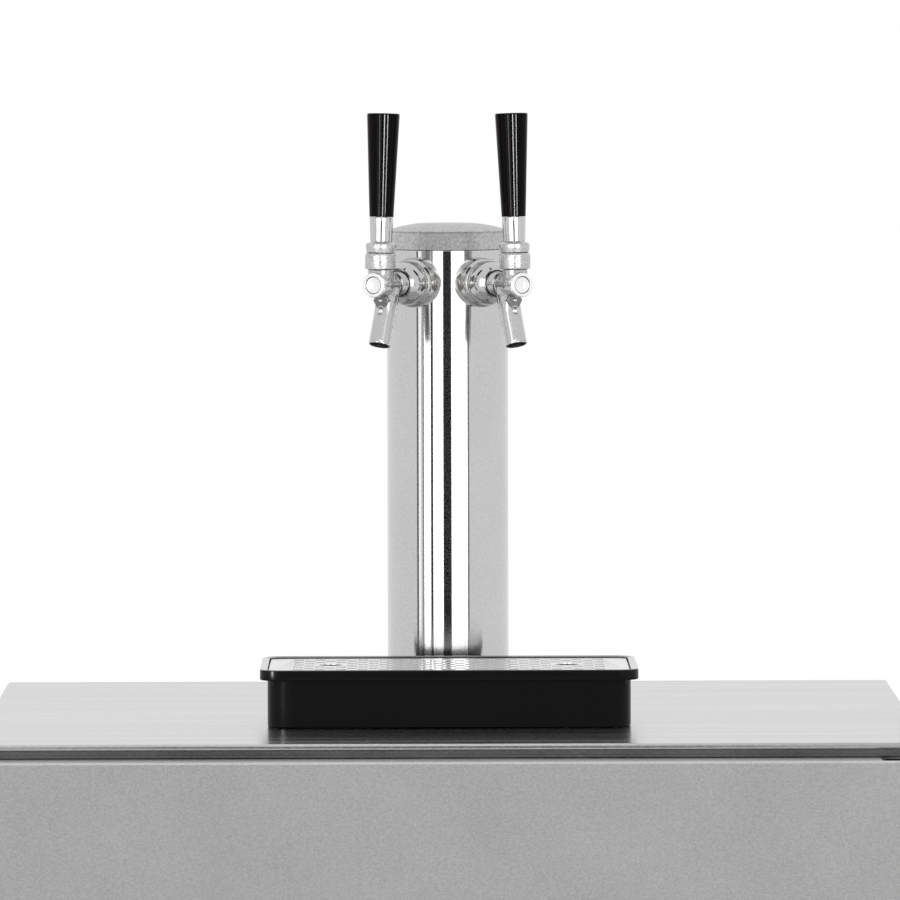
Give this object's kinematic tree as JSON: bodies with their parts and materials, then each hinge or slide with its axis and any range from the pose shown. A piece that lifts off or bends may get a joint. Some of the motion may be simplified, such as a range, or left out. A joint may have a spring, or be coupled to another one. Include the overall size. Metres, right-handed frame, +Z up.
{
  "type": "outdoor kegerator",
  "caption": "Insulated stainless undercounter beer cooler with a hinged door, a drip tray and a round column tower whose faucets have black tap handles.",
  "frame": {"origin": "on the floor under the middle of the whole object", "axes": "+Z up, -Y towards the front with the door and the taps, +X to the viewer's right"},
  "size_m": [0.762, 0.697, 1.4119],
  "materials": {
    "brushed_steel": "satin",
    "polished_steel": "polished",
    "chrome": "polished",
    "zinc_steel": "satin",
    "compressor_black": "satin",
    "condenser_aluminium": "satin",
    "cylinder_aluminium": "satin",
    "black_plastic": "matte",
    "tray_plastic": "satin",
    "tap_handle_plastic": "gloss",
    "liner": "satin",
    "foam": "matte",
    "gasket_rubber": "matte",
    "gas_hose": "satin",
    "beer_line": "satin"
  },
  "bodies": {
    "cabinet": {"worktop": "brushed_steel", "cabinet_shell": "brushed_steel", "cabinet_foam": "foam", "inner_liner": "liner", "base_pan": "zinc_steel", "kick_grille": "brushed_steel", "rear_grille": "zinc_steel", "power_inlet": "black_plastic", "compressor": "compressor_black", "condenser": "condenser_aluminium", "evaporator_cover": "liner", "upper_hinge": "zinc_steel", "lower_hinge": "zinc_steel", "gas_cylinder": "cylinder_aluminium", "gas_regulator": "chrome", "left_gas_hose": "gas_hose", "right_gas_hose": "gas_hose", "left_keg_coupler": "chrome", "right_keg_coupler": "chrome", "left_beer_line": "beer_line", "right_beer_line": "beer_line", "tower_gasket": "gasket_rubber", "tower_flange": "brushed_steel", "tower_column": "polished_steel", "tower_cap": "brushed_steel", "left_shank": "chrome", "left_coupling_nut": "chrome", "left_faucet_body": "chrome", "left_face_cap": "chrome", "left_bonnet": "chrome", "right_shank": "chrome", "right_coupling_nut": "chrome", "right_faucet_body": "chrome", "right_face_cap": "chrome", "right_bonnet": "chrome"},
    "door": {"door_skin": "brushed_steel", "door_foam": "foam", "door_liner": "liner", "door_gasket": "gasket_rubber", "door_handle": "brushed_steel"},
    "door_lock": {"door_lock": "chrome"},
    "condenser_fan": {"condenser_fan": "black_plastic"},
    "thermostat_knob": {"thermostat_knob": "black_plastic"},
    "cylinder_handwheel": {"cylinder_handwheel": "black_plastic"},
    "drip_tray": {"drip_tray": "tray_plastic"},
    "drip_grate": {"drip_grate": "polished_steel"},
    "left_coupler_lever": {"left_coupler_lever": "black_plastic"},
    "left_tap": {"left_lever": "chrome", "left_ferrule": "chrome", "left_tap_handle": "tap_handle_plastic"},
    "left_faucet_shaft": {"left_faucet_shaft": "chrome"},
    "right_coupler_lever": {"right_coupler_lever": "black_plastic"},
    "right_tap": {"right_lever": "chrome", "right_ferrule": "chrome", "right_tap_handle": "tap_handle_plastic"},
    "right_faucet_shaft": {"right_faucet_shaft": "chrome"},
    "front_left_leg": {"front_left_leg": "zinc_steel"},
    "front_right_leg": {"front_right_leg": "zinc_steel"},
    "rear_left_leg": {"rear_left_leg": "zinc_steel"},
    "rear_right_leg": {"rear_right_leg": "zinc_steel"}
  },
  "joints": [
    {"name": "door_hinge", "type": "hinge", "parent": "cabinet", "child": "door", "pos_m": [0.36, -0.2665, 0.5], "axis": [0, 0, 1], "range_deg": [0, 110]},
    {"name": "lock_turn", "type": "hinge", "parent": "door", "child": "door_lock", "pos_m": [-0.335, -0.2965, 0.7744], "axis": [0, -1, 0], "range_deg": [0, 90]},
    {"name": "fan_spin", "type": "hinge", "parent": "cabinet", "child": "condenser_fan", "pos_m": [0.162, 0.27575, 0.1323], "axis": [1, 0, 0], "continuous": true},
    {"name": "thermostat_turn", "type": "hinge", "parent": "cabinet", "child": "thermostat_knob", "pos_m": [0.26, 0.24, 0.7161], "axis": [0, -1, 0], "range_deg": [0, 270]},
    {"name": "cylinder_valve_turn", "type": "hinge", "parent": "cabinet", "child": "cylinder_handwheel", "pos_m": [-0.2685, 0.2395, 0.739], "axis": [0, 0, 1], "range_deg": [0, 540]},
    {"name": "tray_lift", "type": "slide", "parent": "cabinet", "child": "drip_tray", "axis": [0, 0, 1], "range_m": [0, 0.1]},
    {"name": "grate_lift", "type": "slide", "parent": "drip_tray", "child": "drip_grate", "axis": [0, 0, 1], "range_m": [0, 0.1]},
    {"name": "left_coupler_lever_turn", "type": "hinge", "parent": "cabinet", "child": "left_coupler_lever", "pos_m": [-0.02, 0.2395, 0.3803], "axis": [1, 0, 0], "range_deg": [0, 60]},
    {"name": "left_tap_pull", "type": "hinge", "parent": "cabinet", "child": "left_tap", "pos_m": [-0.0555, 0.01237, 1.283], "axis": [0.866, -0.5, 0], "range_deg": [0, 25]},
    {"name": "left_shaft_slide", "type": "slide", "parent": "cabinet", "child": "left_faucet_shaft", "axis": [0.5, 0.866, 0], "range_m": [0, 0.0056]},
    {"name": "right_coupler_lever_turn", "type": "hinge", "parent": "cabinet", "child": "right_coupler_lever", "pos_m": [0.15, 0.2395, 0.3803], "axis": [1, 0, 0], "range_deg": [0, 60]},
    {"name": "right_tap_pull", "type": "hinge", "parent": "cabinet", "child": "right_tap", "pos_m": [0.0555, 0.01237, 1.283], "axis": [0.866, 0.5, 0], "range_deg": [0, 25]},
    {"name": "right_shaft_slide", "type": "slide", "parent": "cabinet", "child": "right_faucet_shaft", "axis": [-0.5, 0.866, 0], "range_m": [0, 0.0056]},
    {"name": "front_left_leg_level", "type": "slide", "parent": "cabinet", "child": "front_left_leg", "axis": [0, 0, -1], "range_m": [0, 0.02]},
    {"name": "front_right_leg_level", "type": "slide", "parent": "cabinet", "child": "front_right_leg", "axis": [0, 0, -1], "range_m": [0, 0.02]},
    {"name": "rear_left_leg_level", "type": "slide", "parent": "cabinet", "child": "rear_left_leg", "axis": [0, 0, -1], "range_m": [0, 0.02]},
    {"name": "rear_right_leg_level", "type": "slide", "parent": "cabinet", "child": "rear_right_leg", "axis": [0, 0, -1], "range_m": [0, 0.02]}
  ],
  "couplings": [
    {"joint": "left_shaft_slide", "follows": "left_tap_pull", "m_per_rad": 0.0125},
    {"joint": "right_shaft_slide", "follows": "right_tap_pull", "m_per_rad": 0.0125}
  ]
}
